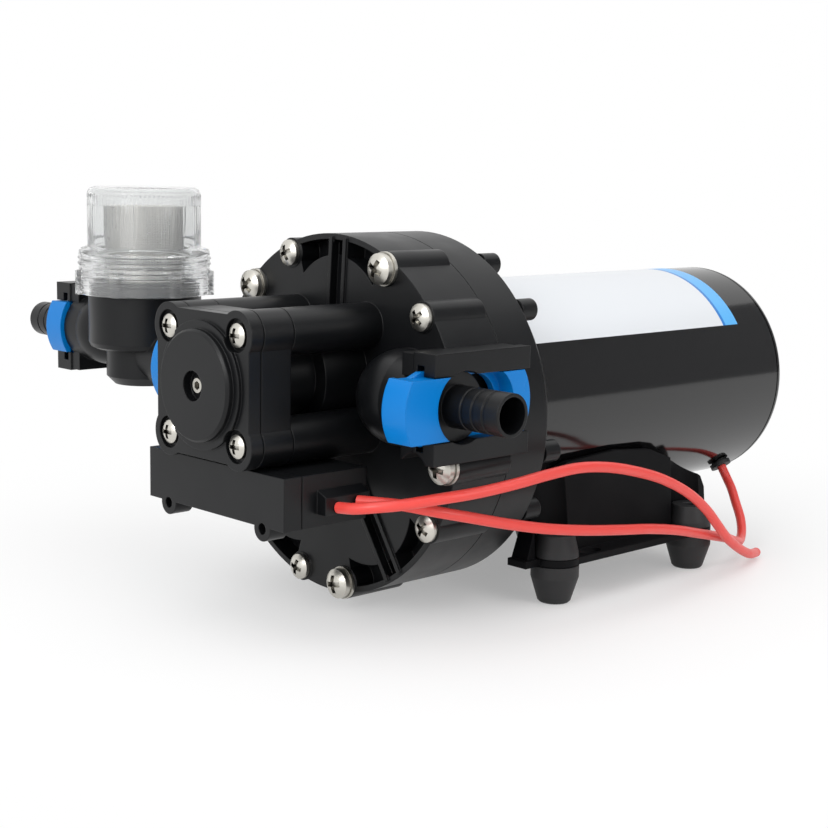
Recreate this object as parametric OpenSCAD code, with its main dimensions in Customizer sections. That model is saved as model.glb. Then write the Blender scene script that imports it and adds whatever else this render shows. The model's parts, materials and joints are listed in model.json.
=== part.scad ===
// Diaphragm water pump with a pressure switch, quick-release ports and an inlet strainer

/* [Motor] */
// Outer diameter of the motor can
can_d = 84.6; // [80:0.2:90]
// Length of the motor from the pump head to the rear cap
motor_len = 155.4; // [140:0.2:180]
// Wall of the motor can
can_wall = 1.6; // [1.2:0.1:2.4]
// Thickness of the rear cap
cap_t = 3.8; // [3:0.1:6]
// Diameter of the motor shaft
shaft_d = 8; // [6:0.5:10]
// Outer diameter of the ball bearings
bearing_d = 22; // [19:0.5:24]
// Width of the ball bearings
bearing_w = 7; // [5:0.5:8]
// Thickness of the field magnets
magnet_t = 8; // [6:0.5:10]
// Length of the laminated armature core
core_len = 62; // [40:1:70]
// Diameter of the commutator
commutator_d = 24; // [20:0.5:30]

/* [Pump head] */
// Diameter of the pump head
head_d = 120; // [116:0.5:126]
// Depth of the front housing
front_depth = 24; // [22:0.5:28]
// Depth of the rear housing
rear_depth = 23; // [22:0.5:28]
// Diameter of the circle of housing screws
screw_circle_d = 113.2; // [112:0.2:116]
// Diameter of a housing screw's shank
screw_d = 4; // [3:0.1:4.5]
// Diameter of the plain pan heads
pan_head_d = 8.7; // [7:0.1:9.5]
// Diameter of the larger heads that carry washers
washer_head_d = 10; // [8:0.1:10.5]
// Diameter of the washers
washer_d = 11; // [10.6:0.1:12]
// Depth of the cast pockets in the front face
pocket_depth = 8; // [5:0.5:9]
// Tilt of the wobble plate
wobble_tilt = 2.5; // [1:0.1:2.8]
// Radius of the circle of pumping chambers
chamber_circle_r = 30; // [29:0.2:31]
// Diameter of the pistons
piston_d = 22; // [18:0.5:23]
// Thickness of the rubber diaphragm
diaphragm_t = 2.4; // [1.6:0.1:2.6]

/* [Pressure switch] */
// Height of the switch above the pump axis
switch_z = 14.2; // [12:0.2:16]
// Spacing of the four switch screws across the pump
switch_pitch_y = 35; // [33:0.5:37]
// Spacing of the four switch screws up the pump
switch_pitch_z = 34; // [32:0.5:36]
// Length of the four pillars between the head and the switch
pillar_len = 36; // [30:0.5:42]
// Depth of the switch body
switch_body_t = 12; // [11:0.5:16]
// Thickness of the switch cover's flange
switch_flange_t = 4.6; // [4:0.1:6]
// Diameter of the round cap on the switch cover
switch_cap_d = 35.4; // [32:0.2:38]
// Diameter of the pressure adjusting screw
adjust_d = 4.6; // [4:0.1:6]
// Width of the micro switch box
box_w = 70; // [66:0.5:76]
// Height of the micro switch box
box_h = 16.5; // [15:0.5:20]
// Depth of the micro switch box with its cover
box_depth = 33; // [30:0.5:34]

/* [Ports] */
// Distance from the pump axis to the clip's middle plane
port_reach = 60.2; // [59.6:0.1:64]
// Height of the port axis above the pump axis
port_z = 10.5; // [9:0.1:12]
// Outer diameter of the port tubes
port_tube_d = 30; // [27:0.5:32]
// Bore of the port tubes
port_bore_d = 17.2; // [16.6:0.1:17.6]
// Outer diameter of the hose barbs
barb_d = 13.4; // [12:0.1:14]
// Bore of the hose barbs
barb_bore_d = 11.2; // [9:0.1:11.4]
// Length of the outlet's hose barb beyond the collar
barb_len = 23; // [18:0.2:28]
// Length of the inlet's hose barb beyond the collar
inlet_barb_len = 29; // [18:0.2:34]
// Length of the blue slide clips
clip_len = 54; // [52:0.5:60]
// Height of the blue slide clips
clip_h = 19.4; // [19.2:0.1:20]
// Travel of a slide clip from locked to released
clip_throw = 10; // [8:0.5:10]

/* [Strainer] */
// Distance from the pump axis to the strainer's axis
strainer_y = 105; // [102:0.5:112]
// Outer diameter of the strainer body
cup_d = 42; // [40:0.5:44]
// Height of the strainer body's rim above the port axis
cup_top = 22; // [21:0.5:26]
// Height of the clear bowl above that rim
bowl_h = 40; // [36:0.5:46]
// Height of the bowl's collar
collar_h = 17.5; // [16:0.5:20]
// Diameter of the strainer screen
screen_d = 29.5; // [26:0.5:31]
// How far the strainer's clip stands from its middle
strainer_clip_shift = 10.5; // [0:0.5:11]

/* [Base] */
// Height of the pump axis above the floor
axis_h = 66; // [65:0.5:72]
// Spacing of the mounting holes along the pump
foot_pitch_x = 76; // [70:1:84]
// Spacing of the mounting holes across the pump
foot_pitch_y = 90; // [86:1:96]
// Distance from the head's front rim to the middle of the mounting holes
foot_mid_x = 102.5; // [98:0.5:110]
// Diameter of the mounting holes through the feet
mount_hole_d = 5.2; // [4:0.1:6]
// Largest diameter of a rubber foot
foot_d = 16.8; // [16:0.2:20]
// Height of a rubber foot
foot_h = 24; // [22:0.5:26]
// Height of the base plate's underside above the floor
plate_z = 13.5; // [12:0.5:15]
// Thickness of the base plate
plate_t = 2.5; // [2:0.1:3]
// Length of the saddle that carries the motor
saddle_len = 62; // [50:1:64]

/* [Leads] */
// Diameter of the insulated leads
lead_d = 3.6; // [2.6:0.1:3.6]

/* [Fits] */
// Clearance between parts that move on each other
clear = 0.3; // [0.2:0.05:0.4]
// Radial clearance of a running shaft
running = 0.05; // [0.02:0.01:0.1]
// Radial clearance around screws and pins
hole_clear = 0.2; // [0.1:0.05:0.3]

/* [Hidden] */
$fn = 64;
eps = 0.01;

black = "#1b1c1f";
blue = "#1f7fdc";
steel = "#c9cac8";
rubber = "#141414";

// Stations along the pump axis, from the front rim of the head
head_r = head_d / 2;
head_end = front_depth + rear_depth;
motor_end = head_end + motor_len;
can_end = motor_end - cap_t;
can_r = can_d / 2;
can_in_r = can_r - can_wall;
shaft_r = shaft_d / 2;
bearing_r = bearing_d / 2;

// Layout of the pump head
screw_r = screw_circle_d / 2;
sides = [0 : 72 : 288];
plain_sides = [0, 72, 216, 288];
plain_at = 39.6;
washer_at = 62.2;
chamber_at = 86.9;
pocket_sides = [0, 144, 216];
seam = 0.3;
face_x = 0.3;
rim_w = 1.9;
boss_r = 5;
boss_step = 1;
rib_at = 3.4;
rib_w = 1.5;
nub_r = 3.7;
valve_x = 11;
diaphragm_r = 51;
plate_back = front_depth - diaphragm_t / 2;
seat_x = front_depth + diaphragm_t / 2;
recess_r = 50;
chamber_r = 13.5;
ceiling_x = valve_x + 3;
rear_wall_x = head_end - 7.5;
cavity_r = 47;
bearing_x = head_end - bearing_w + 1;
spigot_len = 6;

// Layout of the wobble drive
swing = (chamber_circle_r + piston_d / 2) * sin(wobble_tilt);
wobble_front = seat_x + swing + 0.5;
wobble_t = 6;
hub_len = bearing_w + 2.5;
pivot_x = wobble_front + hub_len / 2;
piston_t = 2.2;
piston_x = ceiling_x + 1.2 + 0.4 + swing;
journal_r = bearing_r - 3.5;

// Layout of the motor
rear_bearing_x = can_end - bearing_w + 1;
magnet_out_r = can_in_r - 0.1;
core_r = magnet_out_r - magnet_t - 1;
commutator_len = 14;
holder_x = rear_bearing_x - 17;
commutator_x = holder_x - commutator_len - 1;
winding_len = 13;
core_back = commutator_x - winding_len - 1;
core_x = core_back - core_len;
brush_len = 12;
grommet_x = motor_end - 16;
grommet_at = 54;
grommet_out = 2.2;
bolt_r = can_in_r - 4.5;
bolt_angles = [75, 255];
bolt_d = 4;
saddle_screw_at = [4, 36];

// Layout of the pressure switch
switch_back = -pillar_len;
switch_mid = switch_back - switch_body_t;
switch_face = switch_mid - switch_flange_t;
cap_face = switch_face - 3.6;
pillar_r = 7.6;
boss_len = 17.4;
boss_out_r = 18;
neck_r = 13;
switch_half_y = switch_pitch_y / 2 + pillar_r;
switch_half_z = switch_pitch_z / 2 + pillar_r;
spring_bore_r = 11;
membrane_t = 1.5;
plunger_x = switch_back - membrane_t - 2.6;
plunger_travel = 1.2;
seat_t = 1.5;
seat_place = switch_mid - 0.6;
cap_web_x = switch_face + 0.4;
box_top = switch_z - switch_half_z - 0.2;
box_bottom = box_top - box_h;
box_face = switch_mid;
box_back = box_face + box_depth;
box_split = box_face + 7;
box_wall = 2;
lug_y = 24.5;
lug_r = 3.9;
gland_x = -26;
gland_z = box_top - 9.5;
gland_out = 4;
arm_w = 5;
arm_t = 3;
micro_h = 7;
button_w = 2.4;
button_z = box_bottom + box_wall + micro_h / 2;

// Layout of a quick-release port, measured out from the clip's middle plane
port_x = -2;
bracket_t = 9.5;
bracket_front = 13;
bracket_back = 28.6;
bracket_h = 34;
web_out = 1.1;
web_t = 2.5;
web_in = web_out + web_t;
tongue_h = 1.6;
tongue_t = 2.4;
tongue_y = -web_out - 0.5;
tongue_room = 3.4;
pad_in = 5.6;
pad_len = 4.5;
pad_round = 18;
flange_t = 2;
flange_in = web_in + clear + flange_t;
tube_end = flange_in + clear;
ball_at = 22;
ball_r = port_tube_d / 2 + 0.5;
spigot_fit_len = 15;
spigot_fit_r = port_bore_d / 2 - 0.2;
flange_r = spigot_fit_r + 0.4;
neck_fit_r = spigot_fit_r - 1;
wide_r = flange_r + clear;
collar_r = 11;
collar_in = clear - web_out;
collar_t = 2;
seal_r = 0.6;
clip_mid = 2;
fit_seat = spigot_fit_len + flange_in + 1;

// Layout of the strainer
cup_r = cup_d / 2;
cup_wall = 2.4;
strainer_inlet_z = port_z + 6.8;
rim_z = port_z + cup_top;
cup_floor = rim_z - 16;
neck_h = 3.5;
neck_out_r = cup_r - 0.7;
bowl_r = cup_r;
bowl_wall = 2;
collar_r_out = bowl_r + 4.5;
bowl_top = rim_z + bowl_h;
screen_r = screen_d / 2;
sump_r = 14.5;
link_r = 11;
lugs = 7;
lug_at = 5.4;
lug_h = 9.5;
sump_bottom = port_z - 11.5;
strainer_port_y = strainer_y + 42;
strainer_front = 9.5;
strainer_tube_r = port_tube_d / 2 - 1.8;

// Layout of the base
foot_r = foot_d / 2;
foot_groove_r = 6;
ear_r = 8.2;
edge_front = 15;
edge_rear = 12;
saddle_floor = axis_h - can_r - 7.2;
saddle_clear = 0.2;
plate_top = plate_z + plate_t;
notch_x = -10;
slot_x = -foot_pitch_x / 2 + 15;
slot_y = foot_pitch_y / 2 + 2.5;
slot_l = 10;
slot_w = 6;

// Route of the lead from the switch box to the motor, from the head's front rim on the pump axis
motor_lead_path = [
  [-22, -39, -20], [-19, -45, -20], [-14, -51, -20.5], [-6, -57, -22.5], [6, -61, -25.5], [20, -64, -29],
  [36, -66, -32.5], [54, -67, -35.5], [72, -67, -38], [90, -66, -40.5], [108, -64, -44], [122, -62, -47.5],
  [136, -60, -51], [149, -57, -54.5], [160, -53.5, -58], [168, -49.5, -59.5], [174, -46, -57.5],
  [178.5, -42, -53.5], [182, -37, -48.5], [184.5, -33, -44], [186, -29.5, -40.5], [186.4, -26.2, -36]
];

// Route of the supply lead from the switch box to its bare end on the floor
supply_lead_path = [
  [-30, -39, -21], [-29, -45, -20.5], [-26, -51, -19.5], [-20, -57, -18.5], [-10, -63, -17], [2, -67, -16],
  [16, -70, -14.5], [30, -71.5, -13], [44, -72, -12.5], [58, -72, -14], [72, -71.5, -17], [86, -71, -21],
  [99, -70, -26], [110, -69, -31.5], [120, -68, -38], [128, -67, -44.5], [136, -65.5, -50.5],
  [145, -63.5, -55.5], [154, -61, -59.5], [163, -58, -62.5], [172, -54.5, -64]
];

// Moves a shape from the pump axis to the frame of the mounting holes
module on_axis() translate([-foot_mid_x, 0, axis_h]) children();

// Moves a shape from the pump axis to a point on the strainer's port axis
module on_strainer() translate([port_x, strainer_y, 0]) children();

// Cylinder along X between two stations
module xcyl(x0, x1, r, y = 0, z = 0) translate([x0, y, z]) rotate([0, 90, 0]) cylinder(h = x1 - x0, r = r);

// Cylinder along Y between two stations
module ycyl(y0, y1, r, x = 0, z = 0) translate([x, y0, z]) rotate([-90, 0, 0]) cylinder(h = y1 - y0, r = r);

// Cylinder along Z between two heights
module zcyl(z0, z1, r, x = 0, y = 0) translate([x, y, z0]) cylinder(h = z1 - z0, r = r);

// Tube along X
module xtube(x0, x1, outer, inner, y = 0, z = 0) difference() {
  xcyl(x0, x1, outer, y, z);
  xcyl(x0 - 1, x1 + 1, inner, y, z);
}

// Block between two corners
module block(low, high) translate(low) cube(high - low);

// Flat shape drawn as [down, across] and drawn out along X
module extrude_x(x0, x1) translate([x0, 0, 0]) rotate([0, 90, 0]) linear_extrude(x1 - x0) children();

// Solid of revolution about the pump axis from [radius, station] points
module turned_x(points) rotate([0, 90, 0]) rotate_extrude() polygon(points);

// Point on a circle for the flat shapes, by angle from the right side towards the top
function polar(r, a) = [-r * sin(a), -r * cos(a)];

// Places a shape on the screw circle, by angle from the right side towards the top
module at_angle(a, r = screw_r) rotate([-a, 0, 0]) translate([0, -r, 0]) children();

// Places of the plain screws, where the inlet port takes the place of one
module plain_screws() for (a = plain_sides) at_angle(a + plain_at) children();

// Places of the screws with washers
module washer_screws() for (a = sides) at_angle(a + washer_at) children();

// Ring of round section about X
module ring_x(x, r, section, y = 0, z = 0)
  translate([x, y, z]) rotate([0, 90, 0]) rotate_extrude() translate([r, 0]) circle(section, $fn = 24);

// Ring of round section about Y
module ring_y(y, r, section, x = 0, z = 0)
  translate([x, y, z]) rotate([90, 0, 0]) rotate_extrude() translate([r, 0]) circle(section, $fn = 24);

// Turns a shape with the tilted wobble plate
module wobbling()
  translate([pivot_x, 0, 0]) rotate([0, wobble_tilt, 0]) translate([-pivot_x, 0, 0]) children();

// Smooth route through hand-chosen points
function bend(a, b, c, d, t) = 0.5 * (2 * b + (c - a) * t + (2 * a - 5 * b + 4 * c - d) * t * t
  + (3 * b - a - 3 * c + d) * t * t * t);
function smooth(p, steps) = let (n = len(p) - 1) concat([for (i = [0 : n - 1], s = [0 : steps - 1])
  bend(i == 0 ? 2 * p[0] - p[1] : p[i - 1], p[i], p[i + 1], i == n - 1 ? 2 * p[n] - p[n - 1] : p[i + 2],
    s / steps)], [p[n]]);
function unit(v) = v / norm(v);
function along(p, i) = unit(p[min(i + 1, len(p) - 1)] - p[max(i - 1, 0)]);

// Tube of a few flat sides swept along a route
module swept(path, r, sides_n) {
  last = len(path) - 1;
  rings = [for (i = [0 : last])
    let (t = along(path, i), u = unit(cross(t, [0, 0, 1])), v = cross(u, t))
    for (k = [0 : sides_n - 1])
      path[i] + r * (cos(360 * k / sides_n) * u + sin(360 * k / sides_n) * v)];
  polyhedron(rings, [for (f = tube_faces(last, sides_n)) [f[2], f[1], f[0]]], convexity = 6);
}

// Triangles of a tube of rings with closed ends
function tube_faces(last, n) = concat(
  [for (i = [0 : last - 1], k = [0 : n - 1])
    let (j = (k + 1) % n, a = i * n, b = a + n)
    each [[a + k, b + k, b + j], [a + k, b + j, a + j]]],
  [for (k = [1 : n - 2]) each [[0, k, k + 1], [last * n, last * n + k + 1, last * n + k]]]);

// Screw along X with a round head, its underside at the origin and its shank towards +X
module screw(head, head_h, shank, length) difference() {
  rotate([0, 90, 0]) rotate_extrude() {
    translate([0, -head_h * 0.35]) square([head / 2, head_h * 0.35]);
    intersection() {
      translate([0, head * 0.75 - head_h]) circle(head * 0.75);
      translate([0, -head_h]) square([head / 2, head_h]);
    }
    square([shank / 2, length]);
  }
  for (turn = [0, 90]) rotate([turn, 0, 0])
    block([-head_h - 1, -head * 0.3, -head * 0.085], [-head_h * 0.45, head * 0.3, head * 0.085]);
}

// Flat shape drawn as [along, up] and drawn out along Y
module across(y0, y1) translate([0, y1, 0]) rotate([90, 0, 0]) linear_extrude(y1 - y0) children();

// Guide bracket of a quick-release port before its clip's room is cut, about the port axis with +Y outwards
module port_bracket(front = bracket_front) {
  block([-front, -bracket_t / 2, -bracket_h / 2], [bracket_back, bracket_t / 2, bracket_h / 2]);
  for (end = [-1, 1]) translate([0, 0, end * (bracket_h / 2 - 4)])
    block([0.5 - front, -tube_end - 4, -3.5], [bracket_front - 0.5, -bracket_t / 2 + eps, 3.5]);
}

// Room that a slide clip needs on its way from locked to released, about the port axis
module clip_room() {
  block([-clip_len, -tube_end, -clip_h / 2 - clear],
    [clip_len / 2 + clip_mid + 1, bracket_t, clip_h / 2 + clear]);
  block([-clip_len, tongue_y - tongue_t / 2 - clear, -clip_h / 2 - tongue_room],
    [clip_len / 2 + clip_mid + 1, tongue_y + tongue_t / 2 + clear, clip_h / 2 + tongue_room]);
  ycyl(-web_out, bracket_t, collar_r + clear);
}

// Outline of a slide clip with rounded ends
module clip_outline(middle) translate([middle, 0]) intersection() {
  square([clip_len, clip_h], center = true);
  union() {
    for (end = [-1, 1]) translate([end * (clip_len / 2 - pad_round), 0]) circle(pad_round);
    square([clip_len - 2 * pad_round, clip_h], center = true);
  }
}

// Edge of a slide clip that runs in the bracket, with a ramped end
module tongue(start, edge) polygon([[start + 6, edge * (clip_h / 2 - 1)], [start + 7, edge * clip_h / 2],
  [start + 11, edge * (clip_h / 2 + tongue_h)], [start + clip_len - 12, edge * (clip_h / 2 + tongue_h)],
  [start + clip_len - 12, edge * (clip_h / 2 - 1)]]);

// Slide clip about the port axis, with its middle and its locking slot given along X
module slide_clip(middle, slot_at) color(blue) difference() {
  union() {
    across(-web_in, bracket_t / 2) clip_outline(middle);
    across(-pad_in, -web_in + eps) difference() {
      clip_outline(middle);
      translate([middle, 0]) square([clip_len - 2 * pad_len, 2 * clip_h], center = true);
    }
    for (edge = [-1, 1]) across(tongue_y - tongue_t / 2, tongue_y + tongue_t / 2)
      tongue(middle - clip_len / 2, edge);
  }
  for (x = [slot_at, slot_at + clip_throw]) ycyl(-web_out, bracket_t, collar_r + 2 * clear, x);
  block([slot_at, -web_out, -clip_h], [slot_at + clip_throw, bracket_t, clip_h]);
  block([slot_at, -bracket_t, -neck_fit_r - clear], [slot_at + clip_throw, bracket_t, neck_fit_r + clear]);
  ycyl(-bracket_t, bracket_t, neck_fit_r + clear, slot_at);
  ycyl(-bracket_t, bracket_t, wide_r, slot_at + clip_throw);
}

// Spigot, flange and collar that a slide clip locks, about the port axis with +Y outwards
module fitting_end(outer_end, tube_r = barb_d / 2) difference() {
  union() {
    ycyl(-flange_in - spigot_fit_len, -flange_in + eps, spigot_fit_r);
    ycyl(-flange_in, -flange_in + flange_t, flange_r);
    ycyl(-flange_in + flange_t - eps, collar_in + eps, neck_fit_r);
    ycyl(collar_in, collar_in + collar_t, collar_r);
    ycyl(collar_in + collar_t - eps, outer_end, tube_r);
  }
  for (groove = [4, 9]) ycyl_groove(-flange_in - groove, spigot_fit_r - 2 * seal_r, spigot_fit_r + 1, 2.6);
}

// Groove about Y
module ycyl_groove(y, inner, outer, width) difference() {
  ycyl(y - width / 2, y + width / 2, outer);
  ycyl(y - width, y + width, inner);
}

// Pair of rubber rings in the spigot's grooves
module fitting_seals() for (groove = [4, 9])
  ring_y(-flange_in - groove, spigot_fit_r - seal_r + 0.1, seal_r - 0.05);

// Hose barb with a straight bore
module hose_barb(length) color(black) difference() {
  fitting_end(collar_in + collar_t + length);
  ycyl(-40, collar_in + collar_t + length + 1, barb_bore_d / 2);
  for (ridge = [6, 10.5, 15])
    ycyl_groove(collar_in + collar_t + length - ridge, barb_d / 2 - 0.25, barb_d, 1);
}

// Places a shape on a pump port: -1 is the outlet, 1 is the inlet
module on_port(side)
  translate([port_x, side * port_reach, port_z]) mirror([0, side < 0 ? 1 : 0, 0]) children();

// Places a shape on the strainer's inlet port
module on_strainer_port() translate([port_x, strainer_port_y, strainer_inlet_z]) children();

// Positions of the four switch screws
module switch_corners() for (y = [-1, 1], z = [-1, 1])
  translate([0, y * switch_pitch_y / 2, switch_z + z * switch_pitch_z / 2]) children();

// Rounded block of the switch, with waisted sides, between two stations
module switch_slab(x0, x1) {
  extrude_x(x0, x1) translate([-switch_z, 0])
    square([2 * switch_half_z - 2 * pillar_r, 2 * switch_half_y - 3], center = true);
  extrude_x(x0, x1) translate([-switch_z, 0])
    square([2 * switch_half_z - 3, 2 * switch_half_y - 2 * pillar_r], center = true);
  switch_corners() xcyl(x0, x1, pillar_r);
}

// Places a shape on the middle line of each cast pocket
module pocket_lines() for (a = pocket_sides) rotate([-(a + chamber_at), 0, 0]) children();

// Cast pocket between two screw bosses, with a pair of ribs left standing
module pocket(a) difference() {
  intersection() {
    circle(head_r - rim_w);
    polygon([[0, 0], polar(2 * head_r, a + chamber_at - 21), polar(2 * head_r, a + chamber_at + 21)]);
  }
  circle(chamber_circle_r);
  translate(polar(chamber_circle_r, a + chamber_at)) circle(chamber_r + 9.5);
  translate(polar(screw_r, a + washer_at)) circle(boss_r + 0.9);
  translate(polar(screw_r, a + 72 + plain_at)) circle(boss_r + 0.3);
  for (edge = [-1, 1]) rotate(-(a + chamber_at)) translate([-edge * rib_at, -head_r / 2])
    square([rib_w + 0.4, head_r], center = true);
}

module front_housing() color(black) on_axis() difference() {
  union() {
    xcyl(face_x, front_depth - seam / 2, head_r);
    plain_screws() xcyl(0, front_depth - boss_step, boss_r);
    washer_screws() xcyl(0, front_depth - boss_step, boss_r + 0.6);
    xcyl(-boss_len, face_x + 1, boss_out_r, 0, switch_z);
    xcyl(switch_back, -boss_len + eps, neck_r, 0, switch_z);
    switch_corners() xcyl(switch_back, face_x + 1, pillar_r);
    for (side = [-1, 1]) on_port(side) {
      ycyl(-ball_at, -tube_end, port_tube_d / 2);
      translate([0, -ball_at, 0]) rotate([90, 0, 0]) sphere(ball_r);
    }
    for (side = [-1, 1]) on_port(side) difference() {
      port_bracket();
      translate([-port_x, 0, 0])
        block([front_depth - seam / 2, -100, -100], [100, head_r - port_reach + 0.5, 100]);
    }
    pocket_lines() for (edge = [-1, 1]) translate([0, 0, edge * rib_at])
      block([-0.4, -head_r + 1, -rib_w / 2], [face_x + 1, -25, rib_w / 2]);
  }
  for (a = pocket_sides) extrude_x(-1, pocket_depth) pocket(a);
  pocket_lines()
    block([-1, -head_r + rim_w + 1, -rib_at + rib_w / 2], [face_x + 2.4, -26, rib_at - rib_w / 2]);
  plain_screws() {
    xcyl(-20, -eps, pan_head_d / 2 + 0.8);
    xcyl(-1, front_depth + 1, screw_d / 2 + hole_clear);
  }
  washer_screws() {
    xcyl(-20, -eps, washer_d / 2 + 0.8);
    xcyl(-1, front_depth + 1, screw_d / 2 + hole_clear);
  }
  xcyl(plate_back - eps, front_depth + 1, diaphragm_r + 0.1);
  xcyl(valve_x, plate_back, recess_r);
  xcyl(2, valve_x + eps, 20);
  xtube(8.4, valve_x + eps, 41, 23);
  xcyl(switch_back - 1, 4, 3, 0, switch_z);
  switch_corners() xcyl(switch_back - 1, switch_back + 14, 1.5 + hole_clear);
  for (side = [-1, 1]) on_port(side) ycyl(-fit_seat, 0, port_bore_d / 2);
  for (side = [-1, 1]) on_port(side) ycyl(-port_reach + 28, 0, 5);
  xcyl(port_x, 9, 4, 32, port_z);
  xcyl(port_x, 4.8, 2.4, -32, port_z);
  ycyl(-33, -14, 2.6, 4.8, port_z);
  for (side = [-1, 1]) on_port(side) clip_room();
}

module rear_housing() color(black) on_axis() difference() {
  union() {
    turned_x([[0, front_depth + seam / 2], [head_r, front_depth + seam / 2], [head_r, head_end - 6],
      [head_r - 5, head_end], [0, head_end]]);
    plain_screws() xcyl(head_end - 5, head_end + 2, nub_r);
    washer_screws() xcyl(head_end - 5, head_end + 2, nub_r);
    xcyl(head_end - eps, head_end + spigot_len, can_in_r - 0.2);
  }
  xcyl(front_depth - 1, seat_x, diaphragm_r + 0.1);
  xcyl(front_depth, rear_wall_x, cavity_r);
  xcyl(head_end + 1, head_end + spigot_len + 1, can_in_r - 4);
  xcyl(bearing_x, head_end + spigot_len + 1, bearing_r + running);
  for (a = bolt_angles) at_angle(a, bolt_r)
    xcyl(head_end - 4, head_end + spigot_len + 1, bolt_d / 2 + hole_clear);
  xcyl(front_depth, head_end + spigot_len + 1, shaft_r + 3);
  plain_screws() xcyl(front_depth - 1, head_end + 0.8, screw_d / 2 + hole_clear);
  washer_screws() xcyl(front_depth - 1, head_end + 0.8, screw_d / 2 + hole_clear);
  for (side = [-1, 1]) on_port(side) clip_room();
}

module valve_plate() color("#d8d6cc") on_axis() difference() {
  xcyl(valve_x, plate_back, recess_r - 0.2);
  for (a = sides) {
    at_angle(a + chamber_at, chamber_circle_r) xcyl(ceiling_x, plate_back + 1, chamber_r);
    at_angle(a + chamber_at, chamber_circle_r) xcyl(valve_x - 1, plate_back, 1.8);
    at_angle(a + chamber_at, 18.5) xcyl(valve_x - 1, ceiling_x + 1, 1.1);
    for (spread = [-8, 8]) at_angle(a + chamber_at + spread, chamber_circle_r)
      xcyl(valve_x - 1, plate_back, 1.4);
  }
  xtube(valve_x - 1, valve_x + 1.9, 46.6, 44);
  xcyl(valve_x - 1, valve_x + 3, 2.6);
}

module inlet_valves() color(rubber) on_axis() for (a = sides) at_angle(a + chamber_at, chamber_circle_r) {
  xcyl(valve_x + 0.4, ceiling_x + 0.5, 1.7);
  xcyl(ceiling_x, ceiling_x + 1.2, 6);
}

module outlet_valve() color(rubber) on_axis() {
  turned_x([[0, valve_x - 3], [8, valve_x - 2.6], [19.4, valve_x - 1], [19.4, valve_x], [0, valve_x]]);
  xcyl(valve_x - eps, valve_x + 2.8, 2.5);
}

module plate_seal() color(rubber) on_axis() ring_x(valve_x + 0.95, 45.3, 0.94);

module diaphragm() color(rubber) on_axis() difference() {
  xcyl(plate_back, seat_x, diaphragm_r);
  for (a = sides) at_angle(a + chamber_at, chamber_circle_r) xcyl(plate_back - 1, seat_x + 1, 5);
}

module wobble_plate() color("#3a3d42") on_axis() wobbling() difference() {
  union() {
    for (a = sides) {
      at_angle(a + chamber_at, chamber_circle_r) xcyl(wobble_front, wobble_front + wobble_t, 10);
      rotate([-(a + chamber_at), 0, 0])
        block([wobble_front + 0.5, -chamber_circle_r, -7], [wobble_front + wobble_t - 1, -bearing_r, 7]);
    }
    xcyl(wobble_front, wobble_front + hub_len, bearing_r + 4);
  }
  xcyl(wobble_front + 1.2, wobble_front + hub_len + 1, bearing_r + running);
  xcyl(wobble_front - 1, wobble_front + hub_len, bearing_r - 2);
  for (a = sides) at_angle(a + chamber_at, chamber_circle_r)
    xcyl(wobble_front - 1, wobble_front + wobble_t - 1, 1.5 + hole_clear);
}

module pistons() color("#e6e3d8") on_axis() wobbling() for (a = sides)
  at_angle(a + chamber_at, chamber_circle_r) difference() {
    union() {
      xcyl(piston_x, piston_x + piston_t, piston_d / 2);
      xcyl(piston_x + piston_t - eps, wobble_front, 4);
    }
    xcyl(piston_x - 1, wobble_front + 1, 1.5 + hole_clear);
    xcyl(piston_x - 1, piston_x + 1.6, 3.2);
  }

module piston_screws() color(steel) on_axis() wobbling() for (a = sides)
  at_angle(a + chamber_at, chamber_circle_r) {
    xcyl(piston_x + 0.2, piston_x + 1.6, 3);
    xcyl(piston_x + 1.6 - eps, wobble_front + wobble_t - 1.4, 1.5);
  }

module housing_screws() color(steel) on_axis() plain_screws() screw(pan_head_d, 3.2, screw_d, head_end);

module screw_washers() color(steel) on_axis() washer_screws()
  xtube(-1.2, -2 * eps, washer_d / 2, screw_d / 2 + hole_clear);

module long_screws() color(steel) on_axis() washer_screws()
  translate([-1.2, 0, 0]) screw(washer_head_d, 4.2, screw_d, head_end + 1.2);

module motor_can() color("#0d0d0f") on_axis() difference() {
  turned_x([[can_in_r, head_end], [can_r, head_end], [can_r, can_end - 0.3], [can_r - 0.3, can_end],
    [can_in_r, can_end]]);
  rotate([grommet_at, 0, 0]) ycyl(-can_r - 5, -can_r + 5, 3.2, grommet_x);
  for (x = saddle_screw_at) zcyl(-can_r - 1, -can_in_r + 1, 2 + hole_clear, foot_mid_x + x);
}

module rear_cap() color("#0d0d0f") on_axis() difference() {
  union() {
    rotate([0, 90, 0]) rotate_extrude() {
      translate([0, can_end]) square([can_r - 3, cap_t]);
      translate([0, can_end + 0.3]) square([can_r, cap_t - 3.3]);
      translate([can_r - 3, motor_end - 3]) intersection() {
        circle(3);
        square(3);
      }
    }
    xcyl(can_end - 4, can_end + eps, can_in_r - 0.2);
    xcyl(rear_bearing_x, can_end, bearing_r + 3);
  }
  xtube(can_end - 5, can_end, can_in_r - 4, bearing_r + 3);
  xcyl(rear_bearing_x - 1, can_end + 1, bearing_r + running);
  for (a = bolt_angles) at_angle(a, bolt_r) xcyl(can_end - 9, motor_end + 1, bolt_d / 2 + hole_clear);
}

module through_bolts() color(steel) on_axis() for (a = bolt_angles) at_angle(a, bolt_r)
  translate([motor_end, 0, 0]) mirror([1, 0, 0]) screw(7, 2.4, bolt_d, motor_len + 3);

module field_magnets() color("#4a4a4d") on_axis() intersection() {
  xtube(core_x - 4, core_x + core_len + 4, magnet_out_r, magnet_out_r - magnet_t);
  union() for (side = [0, 180]) extrude_x(core_x - 4, core_x + core_len + 4)
    polygon([[0, 0], polar(2 * can_r, side - 62), polar(4 * can_r, side), polar(2 * can_r, side + 62)]);
}

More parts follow.
